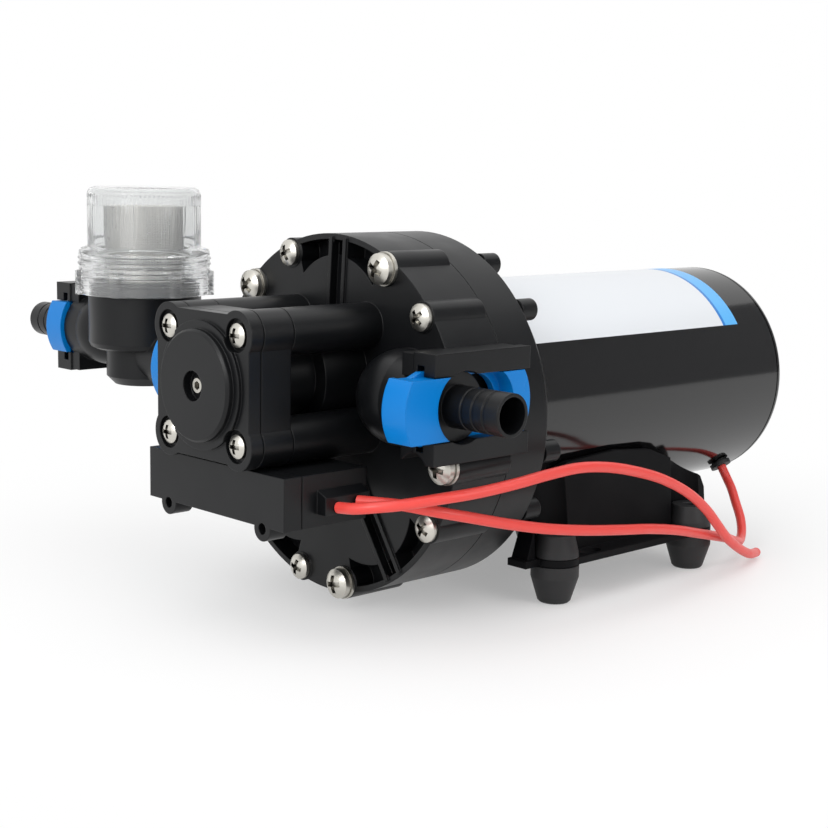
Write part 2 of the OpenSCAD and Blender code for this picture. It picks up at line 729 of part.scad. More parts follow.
// Sealed ball bearing about X
module bearing(x) {
  xtube(x, x + bearing_w, bearing_r, bearing_r - 2.4);
  xtube(x, x + bearing_w, shaft_r + 2, shaft_r + running);
  xtube(x + 0.6, x + bearing_w - 0.6, bearing_r - 2.4, shaft_r + 2);
}

module front_bearing() color(steel) on_axis() bearing(bearing_x);

module rear_bearing() color(steel) on_axis() bearing(rear_bearing_x);

module brush_holder() color("#5a3a22") on_axis() difference() {
  union() {
    xtube(holder_x, holder_x + 3, can_in_r - 0.3, bearing_r + 1);
    for (side = [-1, 1]) block([holder_x - 10, side * (commutator_d / 2 + 9) - 6, -5.5],
      [holder_x + eps, side * (commutator_d / 2 + 9) + 6, 5.5]);
  }
  for (side = [-1, 1]) block([holder_x - 8.6, side * 30 - 29, -4.2], [holder_x - 1.4, side * 30 + 29, 4.2]);
  for (a = bolt_angles) at_angle(a, bolt_r) xcyl(holder_x - 1, holder_x + 4, bolt_d / 2 + 1);
}

module brushes() color("#333333") on_axis() for (side = [-1, 1])
  block([holder_x - 8.4, side * (commutator_d / 2 + running + brush_len / 2) - brush_len / 2, -4],
    [holder_x - 1.6, side * (commutator_d / 2 + running + brush_len / 2) + brush_len / 2, 4]);

module motor_label() color("white") on_axis() intersection() {
  xtube(head_end + 1, motor_end - 23.4, can_r + 0.17, can_r + 0.02);
  extrude_x(head_end, motor_end)
    polygon([[0, 0], polar(2 * can_r, 32.8), polar(4 * can_r, 90), polar(2 * can_r, 147.2)]);
}

module lead_grommet() color(rubber) on_axis() rotate([grommet_at, 0, 0]) {
  ycyl(-can_r - grommet_out, -can_r - 0.5, 4.2, grommet_x);
  ycyl(-can_r - 0.6, -can_in_r + 0.9, 3, grommet_x);
  ycyl(-can_in_r + 0.8, -can_in_r + 2, 4.2, grommet_x);
}

module motor_shaft() color(steel) on_axis()
  xcyl(wobble_front + 1.4, rear_bearing_x + bearing_w - 0.5, shaft_r);

module eccentric() color("#8a8d92") on_axis() difference() {
  wobbling() union() {
    xcyl(wobble_front + 1.6, wobble_front + 1.4 + bearing_w + 0.4, journal_r);
    xcyl(wobble_front + 1.4 + bearing_w + 0.2, wobble_front + 1.4 + bearing_w + 1.4, journal_r + 1.2);
  }
  xcyl(0, head_end, shaft_r);
}

module cam_bearing() color(steel) on_axis() wobbling() {
  xtube(wobble_front + 1.4, wobble_front + 1.4 + bearing_w, bearing_r, bearing_r - 1.6);
  xtube(wobble_front + 1.4, wobble_front + 1.4 + bearing_w, journal_r + 1.2, journal_r);
  xtube(wobble_front + 1.9, wobble_front + 0.9 + bearing_w, bearing_r - 1.6, journal_r + 1.2);
}

module armature_core() color("#77797d") on_axis() difference() {
  xcyl(core_x, core_x + core_len, core_r);
  xcyl(core_x - 1, core_x + core_len + 1, shaft_r);
  for (a = [0 : 30 : 330]) rotate([a, 0, 0])
    block([core_x - 1, core_r - 9, -1.6], [core_x + core_len + 1, core_r + 1, 1.6]);
}

module armature_windings() color("#a85a24") on_axis() difference() {
  union() {
    turned_x([[shaft_r, core_x - winding_len + 2], [core_r - 7, core_x - winding_len],
      [core_r - 2, core_x - 4], [core_r - 2, core_x], [shaft_r, core_x]]);
    turned_x([[shaft_r, core_back], [core_r - 2, core_back], [core_r - 2, core_back + 4],
      [core_r - 7, core_back + winding_len], [shaft_r, core_back + winding_len]]);
  }
  xcyl(core_x - 20, motor_end, shaft_r);
}

module commutator() color("#b87333") on_axis() difference() {
  xcyl(commutator_x, commutator_x + commutator_len, commutator_d / 2);
  xcyl(commutator_x - 1, commutator_x + commutator_len + 1, shaft_r);
  for (a = [0 : 30 : 330]) rotate([a + 15, 0, 0])
    block([commutator_x - 1, commutator_d / 2 - 1, -0.3],
      [commutator_x + commutator_len + 1, commutator_d, 0.3]);
}

module switch_body() color(black) on_axis() difference() {
  switch_slab(switch_mid + seam, switch_back - seam);
  xcyl(switch_mid - 1, switch_back - membrane_t - 0.1, spring_bore_r, 0, switch_z);
  xcyl(switch_back - membrane_t - 0.2, switch_back + 1, 16, 0, switch_z);
  switch_corners() xcyl(switch_mid - 1, switch_back + 1, 1.5 + hole_clear);
  block([plunger_x - arm_t - plunger_travel - 0.4, -arm_w / 2 - 0.4, switch_z - switch_half_z - 1],
    [plunger_x + 0.4, arm_w / 2 + 0.4, switch_z - spring_bore_r + 2]);
}

module switch_cover() color(black) on_axis() difference() {
  union() {
    switch_slab(switch_face, switch_mid);
    xcyl(switch_face - 1.2, switch_face + eps, switch_cap_d / 2 + 2.6, 0, switch_z);
    turned_cap();
  }
  switch_corners() xcyl(switch_face - 5, switch_face + 1.6, 5.2);
  switch_corners() xcyl(switch_face - 1, switch_mid + 1, 1.5 + hole_clear);
  xcyl(cap_face - 1, cap_web_x - 1, 4.8, 0, switch_z);
  xcyl(cap_face - 1, switch_mid + 1, adjust_d / 2 + running, 0, switch_z);
  xcyl(cap_web_x + 1.4, switch_mid + 1, spring_bore_r, 0, switch_z);
}

// Round cap of the switch cover with an eased edge
module turned_cap() translate([0, 0, switch_z]) turned_x([[0, cap_face], [switch_cap_d / 2 - 0.8, cap_face],
  [switch_cap_d / 2, cap_face + 0.8], [switch_cap_d / 2, switch_face], [0, switch_face]]);

module switch_screws() color(steel) on_axis() switch_corners() translate([switch_face + 1.6, 0, 0])
  screw(7.5, 2.8, 3, switch_body_t + switch_flange_t + 8);

module switch_diaphragm() color(rubber) on_axis()
  xcyl(switch_back - membrane_t, switch_back, 15.6, 0, switch_z);

module switch_plunger() color("#d8d6cc") on_axis() {
  xcyl(plunger_x, switch_back - membrane_t - 0.1, spring_bore_r - 1, 0, switch_z);
  block([plunger_x - arm_t, -arm_w / 2, box_bottom + box_wall + 1],
    [plunger_x + eps, arm_w / 2, switch_z - 9]);
}

module pressure_spring() color(steel) on_axis() {
  spring_len = plunger_x - (seat_place + seat_t) - 0.2;
  wire = 0.6;
  turns = 4;
  first = seat_place + seat_t + 0.1 + wire;
  rise = (spring_len - 2 * wire) / (12 * turns);
  coil([for (i = [0 : 12 * turns]) [first + rise * i, 6 * cos(30 * i), switch_z + 6 * sin(30 * i)]], wire);
}

// Round wire wound about X
module coil(run, wire) {
  count = 6;
  last = len(run) - 1;
  rings = [for (i = [0 : last], k = [0 : count - 1])
    let (out = [0, cos(30 * i), sin(30 * i)])
    run[i] + wire * (cos(360 * k / count) * out + sin(360 * k / count) * [1, 0, 0])];
  polyhedron(rings, tube_faces(last, count), convexity = 6);
}

module spring_seat() color(steel) on_axis() xcyl(seat_place, seat_place + seat_t, 8, 0, switch_z);

module adjust_screw() color(steel) on_axis() difference() {
  xcyl(cap_web_x - 2.2, seat_place - 0.1, adjust_d / 2, 0, switch_z);
  translate([0, 0, switch_z]) extrude_x(cap_web_x - 3, cap_web_x) circle(1.45, $fn = 6);
}

module switch_box() color(black) on_axis() difference() {
  union() {
    block([box_split + seam / 2, -box_w / 2, box_bottom], [box_back, box_w / 2, box_top]);
    extrude_x(gland_x - 9, gland_x + 9) polygon([[-gland_z - 4.4, -box_w / 2],
      [-gland_z - 2.6, -box_w / 2 - gland_out], [-gland_z + 3, -box_w / 2 - gland_out],
      [-gland_z + 3, -box_w / 2 + eps], [-gland_z - 4.4, -box_w / 2 + eps]]);
  }
  block([box_split - 1, -box_w / 2 + box_wall, box_bottom + box_wall],
    [box_back - box_wall, box_w / 2 - box_wall, box_top - box_wall]);
  arm_slot();
}

// Slot in the top of the switch box for the plunger's arm
module arm_slot()
  block([plunger_x - arm_t - plunger_travel - 0.4, -arm_w / 2 - 0.4, box_top - box_wall - 1.5],
    [plunger_x + 0.4, arm_w / 2 + 0.4, box_top + 1]);

module box_cover() color(black) on_axis() difference() {
  union() {
    block([box_face, -box_w / 2, box_bottom], [box_split - seam / 2, box_w / 2, box_top]);
    for (side = [-1, 1]) xcyl(box_face, box_split - seam / 2, lug_r, side * lug_y, box_bottom - 0.6);
  }
  block([box_face + box_wall, -box_w / 2 + box_wall, box_bottom + box_wall + 3.4],
    [box_split + 1, box_w / 2 - box_wall, box_top - box_wall]);
  block([box_face + box_wall, -15, box_bottom + box_wall], [box_split + 1, 15, box_top - box_wall - 1]);
  arm_slot();
  for (side = [-1, 1]) xcyl(box_face - 1, box_split + 1, 1.8, side * lug_y, box_bottom - 0.6);
}

module micro_switch() color("#2b2b30") on_axis() difference() {
  block([plunger_x + 2.2, -10, box_bottom + box_wall],
    [plunger_x + 12.2, 10, box_bottom + box_wall + micro_h]);
  block([plunger_x + 1, -button_w / 2 - clear, button_z - button_w / 2 - clear],
    [plunger_x + 6, button_w / 2 + clear, button_z + button_w / 2 + clear]);
}

module micro_button() color("#b03030") on_axis()
  block([plunger_x + clear, -button_w / 2, button_z - button_w / 2],
    [plunger_x + 5, button_w / 2, button_z + button_w / 2]);

module outlet_clip() on_axis() on_port(-1) slide_clip(clip_mid, 0);

module inlet_clip() on_axis() on_port(1) slide_clip(clip_mid, 0);

module strainer_clip() on_axis() on_strainer_port() slide_clip(clip_mid + strainer_clip_shift, 0);

module outlet_barb() on_axis() on_port(-1) hose_barb(barb_len);

module inlet_barb() on_axis() on_strainer_port() hose_barb(inlet_barb_len);

module outlet_seals() color(rubber) on_axis() on_port(-1) fitting_seals();

module inlet_seals() color(rubber) on_axis() on_strainer_port() fitting_seals();

module strainer_body() color(black) on_axis() difference() {
  union() {
    on_strainer() {
      rotate_extrude() polygon([[0, sump_bottom], [sump_r - 3, sump_bottom], [sump_r, sump_bottom + 3],
        [sump_r, cup_floor - 4], [cup_r - 2.4, cup_floor - 4], [cup_r - 0.8, cup_floor - 3.2],
        [cup_r, cup_floor - 1.6], [cup_r, rim_z], [neck_out_r, rim_z],
        [neck_out_r, rim_z + neck_h], [0, rim_z + neck_h]]);
    }
    on_port(1) fitting_end(strainer_y - port_reach, 8.2);
    ycyl(port_reach + bracket_t / 2 + 2.6, strainer_y, link_r, port_x, port_z);
    on_strainer_port() {
      ycyl(4 - ball_at, -tube_end, strainer_tube_r);
      translate([0, 4 - ball_at, 0]) rotate([90, 0, 0]) sphere(strainer_tube_r + 0.5);
      port_bracket(strainer_front);
    }
  }
  on_strainer() {
    zcyl(cup_floor, rim_z + neck_h + 1, cup_r - cup_wall);
    zcyl(port_z - 6, cup_floor + 1, 8);
  }
  on_strainer_port() ycyl(-fit_seat, 0, port_bore_d / 2);
  ycyl(strainer_y + cup_r - cup_wall - 3, strainer_port_y, 4, port_x, strainer_inlet_z + 4);
  on_strainer_port() clip_room();
  ycyl(port_reach - 40, strainer_y, 5.4, port_x, port_z);
}

module strainer_seals() color(rubber) on_axis() on_port(1) fitting_seals();

module strainer_screen() color("#b9bcc0") on_axis() on_strainer() difference() {
  union() {
    zcyl(cup_floor, bowl_top - 7, screen_r);
    zcyl(cup_floor, cup_floor + 2, screen_r + 0.8);
  }
  zcyl(cup_floor - 1, bowl_top - 8, screen_r - 0.9);
}

module bowl_seal() color(rubber) on_axis() on_strainer() translate([0, 0, rim_z + neck_h + 0.9])
  rotate_extrude() translate([(cup_r - cup_wall + neck_out_r) / 2, 0]) circle(0.9, $fn = 24);

module strainer_bowl() color([0.85, 0.88, 0.9, 0.4]) on_axis() on_strainer() difference() {
  union() {
    zcyl(rim_z + collar_h - 2, bowl_top - 2.5, bowl_r);
    translate([0, 0, bowl_top - 2.5]) cylinder(h = 2.5, r1 = bowl_r, r2 = bowl_r - 2.5);
    zcyl(rim_z + clear, rim_z + collar_h, collar_r_out - 1.2);
    for (i = [0 : lugs - 1]) rotate([0, 0, lug_at + i * 360 / lugs])
      zcyl(rim_z + clear + 0.2, rim_z + lug_h, 2.6, collar_r_out - 2);
  }
  zcyl(rim_z - 1, rim_z + neck_h + 1.9, neck_out_r + clear);
  zcyl(rim_z, bowl_top - bowl_wall, bowl_r - bowl_wall);
}

// Outline of the base plate with four ears and a notched front edge, about the middle of the mounting holes
module base_outline() difference() {
  union() {
    square([foot_pitch_x, foot_pitch_y + 14], center = true);
    for (x = [-1, 1], y = [-1, 1]) translate([x * foot_pitch_x / 2, y * foot_pitch_y / 2]) circle(ear_r);
    translate([foot_pitch_x / 2 - 1, -foot_pitch_y / 2]) square([edge_rear + 1, foot_pitch_y]);
    translate([-foot_pitch_x / 2 - edge_front, -foot_pitch_y / 2]) square([edge_front + 1, foot_pitch_y]);
  }
  polygon([[-foot_pitch_x, -foot_pitch_y / 2 + 7], [-foot_pitch_x / 2 - 6, -foot_pitch_y / 2 + 9],
    [notch_x, 0], [-foot_pitch_x / 2 - 6, foot_pitch_y / 2 - 9], [-foot_pitch_x, foot_pitch_y / 2 - 7]]);
}

module base_plate() color(black) difference() {
  union() {
    translate([0, 0, plate_z]) linear_extrude(plate_t) base_outline();
    intersection() {
      translate([0, 0, plate_z]) linear_extrude(axis_h) base_outline();
      extrude_x(-saddle_len, saddle_len)
        polygon([[-plate_z, -44], [-axis_h + 17, -40.5], [-axis_h + 17, 40.5], [-plate_z, 44]]);
      translate([0, foot_pitch_y, 0]) rotate([90, 0, 0]) linear_extrude(2 * foot_pitch_y) saddle_arch();
    }
  }
  on_axis() xcyl(head_end, motor_end, can_r + saddle_clear);
  for (x = [-1, 1], y = [-1, 1]) translate([x * foot_pitch_x / 2, y * foot_pitch_y / 2, 0]) {
    zcyl(0, axis_h, foot_groove_r + hole_clear);
    zcyl(plate_top, axis_h, foot_r + 0.5);
  }
  for (y = [-slot_y, slot_y]) translate([slot_x, y, 0]) {
    for (end = [-1, 1]) zcyl(0, axis_h, slot_w / 2, end * (slot_l - slot_w) / 2);
    block([-(slot_l - slot_w) / 2, -slot_w / 2, 0], [(slot_l - slot_w) / 2, slot_w / 2, axis_h]);
  }
  for (x = saddle_screw_at) {
    zcyl(0, axis_h, 2 + hole_clear, x);
    zcyl(0, saddle_floor, 4.5, x);
  }
}

// Arched side of the saddle, as length and height
module saddle_arch() polygon([[-saddle_len + 10, plate_z], [-saddle_len + 22, axis_h - 24],
  [-28, axis_h - 19], [-2, axis_h - 17.5], [18, axis_h - 19.5], [38, axis_h - 27], [48, axis_h - 33],
  [54, axis_h - 46], [55, plate_z]]);

module saddle_screws() color(steel) for (x = saddle_screw_at) translate([x, 0, saddle_floor])
  rotate([0, -90, 0]) screw(8, 2.6, 4, can_wall + 9.2);

module feet_front() color(rubber) for (side = [-1, 1])
  translate([-foot_pitch_x / 2, side * foot_pitch_y / 2, 0]) foot();

module feet_rear() color(rubber) for (side = [-1, 1])
  translate([foot_pitch_x / 2, side * foot_pitch_y / 2, 0]) foot();

// Rubber foot with a groove that holds the base plate and a screw hole right through
module foot() rotate_extrude() polygon([[mount_hole_d / 2, 0], [foot_r - 3.2, 0], [foot_r - 2.6, 0.6],
  [foot_r, 9], [foot_r, plate_z - hole_clear], [foot_groove_r, plate_z - hole_clear],
  [foot_groove_r, plate_top + hole_clear], [foot_r - 0.2, plate_top + hole_clear],
  [foot_r - 0.4, plate_top + 2], [foot_r - 1.9, foot_h], [mount_hole_d / 2, foot_h]]);

module motor_lead() color("#d8403c") on_axis() swept(smooth(motor_lead_path, 2), lead_d / 2, 8);

module supply_lead() color("#d8403c") on_axis() swept(smooth(supply_lead_path, 2), lead_d / 2, 8);

front_housing();
rear_housing();
valve_plate();
inlet_valves();
outlet_valve();
plate_seal();
diaphragm();
wobble_plate();
pistons();
piston_screws();
housing_screws();
long_screws();
screw_washers();
motor_can();
rear_cap();
through_bolts();
field_magnets();
front_bearing();
rear_bearing();
brush_holder();
brushes();
motor_label();
lead_grommet();
motor_shaft();
eccentric();
cam_bearing();
armature_core();
armature_windings();
commutator();
switch_body();
switch_cover();
switch_screws();
switch_diaphragm();
switch_plunger();
pressure_spring();
spring_seat();
adjust_screw();
switch_box();
box_cover();
micro_switch();
micro_button();
outlet_clip();
inlet_clip();
strainer_clip();
outlet_barb();
inlet_barb();
outlet_seals();
inlet_seals();
strainer_body();
strainer_seals();
strainer_screen();
bowl_seal();
strainer_bowl();
base_plate();
saddle_screws();
feet_front();
feet_rear();
motor_lead();
supply_lead();
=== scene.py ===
# %% [markdown]
# A caravan water pump, dressed for a product picture
#
# The pump arrives as solids that already have their real size and place. This lesson gives each of
# them the surface of its material, and adds what is too fine or too soft for the solids: the two
# leads, the woven screen, the clear bowl with its thread, and the grain that moulds leave.

# %% Load the pump
import json
import math

import bmesh
import bpy
from mathutils import Matrix, Vector


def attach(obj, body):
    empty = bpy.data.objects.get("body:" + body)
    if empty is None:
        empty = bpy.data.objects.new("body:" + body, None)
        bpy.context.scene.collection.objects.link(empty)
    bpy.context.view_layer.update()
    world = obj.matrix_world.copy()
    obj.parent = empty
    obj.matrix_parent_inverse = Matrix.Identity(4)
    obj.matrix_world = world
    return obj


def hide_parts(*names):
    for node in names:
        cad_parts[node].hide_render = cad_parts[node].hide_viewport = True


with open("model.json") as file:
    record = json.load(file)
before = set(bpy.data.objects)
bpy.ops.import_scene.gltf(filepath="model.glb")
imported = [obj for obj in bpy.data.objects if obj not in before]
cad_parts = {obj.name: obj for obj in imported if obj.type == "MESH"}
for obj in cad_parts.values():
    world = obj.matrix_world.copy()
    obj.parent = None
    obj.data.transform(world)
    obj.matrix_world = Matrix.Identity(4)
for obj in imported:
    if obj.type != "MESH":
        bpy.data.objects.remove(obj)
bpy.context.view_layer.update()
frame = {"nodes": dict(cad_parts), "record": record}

nodes = frame["nodes"]

# %% [markdown]
# The pump's own axis is the easiest place to measure from. It runs through the middle of the motor,
# and its zero is the front rim of the head. One small function turns such millimetres into the
# metres of the shared frame, whose origin is on the floor between the four feet.

# %% Measure from the pump's axis
FEET_MIDDLE_X = 102.5
AXIS_HEIGHT = 66.0


def pump_point(x, y, z):
    """A point given in millimetres from the head's rim on the pump axis, in metres in the frame."""
    return Vector(((x - FEET_MIDDLE_X) / 1000, y / 1000, (z + AXIS_HEIGHT) / 1000))


print("head rim:", pump_point(0, 0, 0))

# %% [markdown]
# The camera stands where the photographer stood: low, in front of the pressure switch and a little
# to the outlet's side. Its three directions are given as unit vectors, because that says more than
# three angles do.

# %% Place the camera
CAMERA_RIGHT = Vector((0.72406, -0.68949, 0.01859))
CAMERA_UP = Vector((0.09553, 0.12695, 0.98730))
CAMERA_BACK = Vector((-0.68309, -0.71308, 0.15778))
CAMERA_PLACE = (-345.876, -401.474, 85.128)
SENSOR_MM = 36.0
LENS_MM = 69.86

camera_data = bpy.data.cameras.new("camera")
camera_data.sensor_width = SENSOR_MM
camera_data.lens = LENS_MM
camera = bpy.data.objects.new("camera", camera_data)
turn = Matrix((CAMERA_RIGHT, CAMERA_UP, CAMERA_BACK)).transposed().to_4x4()
camera.matrix_world = Matrix.Translation(pump_point(*CAMERA_PLACE)) @ turn
bpy.context.scene.collection.objects.link(camera)
bpy.context.scene.camera = camera
print("camera at", tuple(round(c, 3) for c in camera.location))

# %% [markdown]
# Colours are written the way a paint shop would, as sRGB hex. Blender works in linear light, so one
# function converts them. A second function adds a node to a material with its settings and its
# links, and every material below is built with it. An input is given by its name, or as _3 by its
# number, because some nodes have several inputs of one name.

# %% Colour and node helpers
def linear(code):
    """The linear colour of an sRGB hex code."""
    parts = [int(code[i:i + 2], 16) / 255 for i in (1, 3, 5)]
    return tuple(c / 12.92 if c <= 0.04045 else ((c + 0.055) / 1.055) ** 2.4 for c in parts) + (1.0,)


def add(tree, kind, settings=(), **inputs):
    """Adds a node, sets its settings, and sets or links its inputs by name or number."""
    node = tree.nodes.new(kind)
    for name, value in dict(settings).items():
        setattr(node, name, value)
    for name, value in inputs.items():
        socket = node.inputs[int(name[1:])] if name[0] == "_" else node.inputs[name.replace("_", " ")]
        if isinstance(value, bpy.types.NodeSocket):
            tree.links.new(value, socket)
        else:
            socket.default_value = value
    return node


def start_material(name):
    """A new material with a surface shader, and the object coordinates that its patterns read."""
    material = bpy.data.materials.new(name)
    material.use_nodes = True
    tree = material.node_tree
    shader = tree.nodes["Principled BSDF"]
    place = add(tree, "ShaderNodeTexCoord").outputs["Object"]
    return material, tree, shader, place


def per_metre(millimetres):
    """The texture scale at which one cell of a pattern has this size."""
    return 1000.0 / millimetres


print("mid grey in linear light:", linear("#808080"))

# %% [markdown]
# The head, the switch, the strainer and the base are moulded in glass-filled nylon. The mould is
# spark-eroded, which leaves a fine grain, and the glass fibres give the satin surface a slightly
# uneven gloss. Both patterns are noise: a fine one for the grain, a broad one for the gloss. The real
# grain is about 0.1 mm and would not show, so it is drawn at 0.5 mm. Most values of a noise lie between
# 0.3 and 0.7, so that range is spread over the gloss. The base plate gets a darker, less glossy copy:
# painted shade for the shadow that the motor and the leads cast on it.

# %% Moulded nylon
NOISE_LOW, NOISE_HIGH = 0.3, 0.7
GLOSS_PATCH_MM = 18
GRAIN_HEIGHT = 0.0002
MOULD_EDGE = 0.0005


def moulded_nylon(name, colour, gloss, sheen=0.5, grain_mm=0.5, grain_depth=0.06):
    """Satin moulded plastic with spark grain and an uneven gloss."""
    material, tree, shader, place = start_material(name)
    shader.inputs["Base Color"].default_value = linear(colour)
    shader.inputs["Specular IOR Level"].default_value = sheen
    broad = add(tree, "ShaderNodeTexNoise", Vector=place, Scale=per_metre(GLOSS_PATCH_MM), Detail=3.0)
    rough = add(tree, "ShaderNodeMapRange", _0=broad.outputs["Fac"], _1=NOISE_LOW, _2=NOISE_HIGH,
                _3=gloss - 0.05, _4=gloss + 0.07)
    tree.links.new(rough.outputs["Result"], shader.inputs["Roughness"])
    fine = add(tree, "ShaderNodeTexNoise", Vector=place, Scale=per_metre(grain_mm), Detail=2.0)
    edge = add(tree, "ShaderNodeBevel", {"samples": 6}, Radius=MOULD_EDGE)
    bump = add(tree, "ShaderNodeBump", Strength=grain_depth, Distance=GRAIN_HEIGHT,
               Height=fine.outputs["Fac"], Normal=edge.outputs["Normal"])
    tree.links.new(bump.outputs["Normal"], shader.inputs["Normal"])
    return material


black_nylon = moulded_nylon("glass_filled_nylon_black", "#0d0e10", 0.35, sheen=0.28)
# A darker, duller copy of the black nylon: painted shade for the base plate under the motor and leads.
shaded_nylon = moulded_nylon("glass_filled_nylon_shaded", "#060608", 0.55, sheen=0.12)
natural_nylon = moulded_nylon("natural_nylon", "#d9d5c8", 0.45)
print("nylon finishes:", black_nylon.name, shaded_nylon.name, natural_nylon.name)

# %% [markdown]
# The clips are acetal, a slippery plastic that moulds with a bright, waxy gloss. It carries a strong
# blue pigment, so it needs only a faint grain.

# %% Acetal clips
blue_acetal = moulded_nylon("acetal_blue", "#0077c6", 0.30, sheen=0.25, grain_mm=0.7, grain_depth=0.03)
print("clip finish:", blue_acetal.name)

# %% [markdown]
# The motor can is drawn steel under gloss black enamel. Enamel levels out as it dries, but never
# quite: the faint waviness that remains, called orange peel, is about 2 mm from crest to crest.

# %% Enamel on the motor
PEEL_MM = 2.0
PEEL_HEIGHT = 0.0002


def enamel(name, colour):
    """Gloss stoving enamel with a trace of orange peel."""
    material, tree, shader, place = start_material(name)
    shader.inputs["Base Color"].default_value = linear(colour)
    shader.inputs["Roughness"].default_value = 0.12
    shader.inputs["Specular IOR Level"].default_value = 0.65
    peel = add(tree, "ShaderNodeTexNoise", Vector=place, Scale=per_metre(PEEL_MM), Detail=1.0)
    bump = add(tree, "ShaderNodeBump", Strength=0.03, Distance=PEEL_HEIGHT, Height=peel.outputs["Fac"])
    tree.links.new(bump.outputs["Normal"], shader.inputs["Normal"])
    return material


black_enamel = enamel("stoving_enamel_black", "#050506")
print("motor finish:", black_enamel.name)

# %% [markdown]
# Screws and washers are steel with bright zinc plating. Plating follows the machined surface, so the
# gloss changes a little over a millimetre or two, and the metal has a faint warm cast. The cross
# recesses get painted shade: a nook finder with a reach of 1.6 mm darkens the colour in them.

# %% Zinc-plated steel
NOOK_REACH = 0.0016
NOOK_SHUT, NOOK_OPEN = 0.35, 0.8
# The colour of the painted shade in the recesses.
NOOK_SHADE_COLOUR = "#2b2825"


def plated_metal(name, colour, gloss, cell_mm=1.6):
    """Bright plated or drawn metal with small changes of gloss, and painted shade in its nooks."""
    material, tree, shader, place = start_material(name)
    shader.inputs["Metallic"].default_value = 1.0
    cloud = add(tree, "ShaderNodeTexNoise", Vector=place, Scale=per_metre(cell_mm), Detail=3.0)
    rough = add(tree, "ShaderNodeMapRange", _0=cloud.outputs["Fac"], _1=NOISE_LOW, _2=NOISE_HIGH,
                _3=gloss - 0.04, _4=gloss + 0.05)
    tree.links.new(rough.outputs["Result"], shader.inputs["Roughness"])
    # Painted shade: ambient occlusion darkens the colour in recesses and other nooks.
    nook_shade = add(tree, "ShaderNodeAmbientOcclusion", {"samples": 8}, Distance=NOOK_REACH)
    unshaded_share = add(tree, "ShaderNodeMapRange", _0=nook_shade.outputs["AO"], _1=NOOK_SHUT, _2=NOOK_OPEN)
    tone = add(tree, "ShaderNodeMix", {"data_type": "RGBA"}, Factor=unshaded_share.outputs["Result"],
               _6=linear(NOOK_SHADE_COLOUR), _7=linear(colour))
    tree.links.new(tone.outputs[2], shader.inputs["Base Color"])
    return material


zinc_steel = plated_metal("zinc_plated_steel", "#cfccc4", 0.36)
stainless = plated_metal("stainless_wire", "#d2d3d2", 0.3)
copper = plated_metal("bare_copper", "#c07a4c", 0.3)
laminated_iron = plated_metal("laminated_iron", "#55565a", 0.5)
print("metals:", zinc_steel.name, stainless.name, copper.name, laminated_iron.name)

# %% [markdown]
# Seen from a hand's width away, the strainer's wire mesh reads as a pale, satin sheet. The wires that
# run up it differ a little from one another, which leaves faint upright streaks: noise that is
# stretched along the object's own Z. The sheet is metal, so its near side mirrors the dark head.

# %% Wire sheet of the strainer
STREAK_MM = 2.2
STREAK_STRETCH = (1.0, 1.0, 0.03)


def wire_sheet(name):
    """Fine woven wire as a pale sheet with upright streaks."""
    material, tree, shader, place = start_material(name)
    stretch = add(tree, "ShaderNodeMapping", Vector=place, Scale=STREAK_STRETCH).outputs["Vector"]
    streak = add(tree, "ShaderNodeTexNoise", Vector=stretch, Scale=per_metre(STREAK_MM), Detail=3.0)
    tone = add(tree, "ShaderNodeMix", {"data_type": "RGBA"}, Factor=streak.outputs["Fac"],
               _6=linear("#bdb7af"), _7=linear("#f0ece5"))
    tree.links.new(tone.outputs[2], shader.inputs["Base Color"])
    shader.inputs["Metallic"].default_value = 0.8
    shader.inputs["Roughness"].default_value = 0.42
    return material


mesh_sheet = wire_sheet("woven_wire_sheet")
print("screen:", mesh_sheet.name)

# %% [markdown]
# The feet and the seals are moulded rubber. Rubber scatters light at its skin, so it looks matte and
# a little greyer than the nylon, with a fine bloom that varies over a few millimetres.

# %% Moulded rubber
BLOOM_MM = 6
BLOOM_COLOUR = "#1d1d1f"
RUBBER_EDGE = 0.0006


def moulded_rubber(name, colour):
    """Matte rubber with a faint bloom."""
    material, tree, shader, place = start_material(name)
    bloom = add(tree, "ShaderNodeTexNoise", Vector=place, Scale=per_metre(BLOOM_MM), Detail=4.0)
    tone = add(tree, "ShaderNodeMix", {"data_type": "RGBA"}, Factor=bloom.outputs["Fac"],
               _6=linear(colour), _7=linear(BLOOM_COLOUR))
    tree.links.new(tone.outputs[2], shader.inputs["Base Color"])
    shader.inputs["Roughness"].default_value = 0.55
    edge = add(tree, "ShaderNodeBevel", {"samples": 6}, Radius=RUBBER_EDGE)
    tree.links.new(edge.outputs["Normal"], shader.inputs["Normal"])
    return material


black_rubber = moulded_rubber("moulded_rubber_black", "#0e0e0f")
print("rubber:", black_rubber.name)

# %% [markdown]
# The label is a plain white film. A blue band runs across its rear end in two tones, a narrow darker
# one inside and a lighter one outside, and a step in the object's own X finds both.

# %% Label film
LABEL_BANDS_MM = (169.6, 171.2)
RIPPLE_MM = 9
RIPPLE_HEIGHT = 0.0002


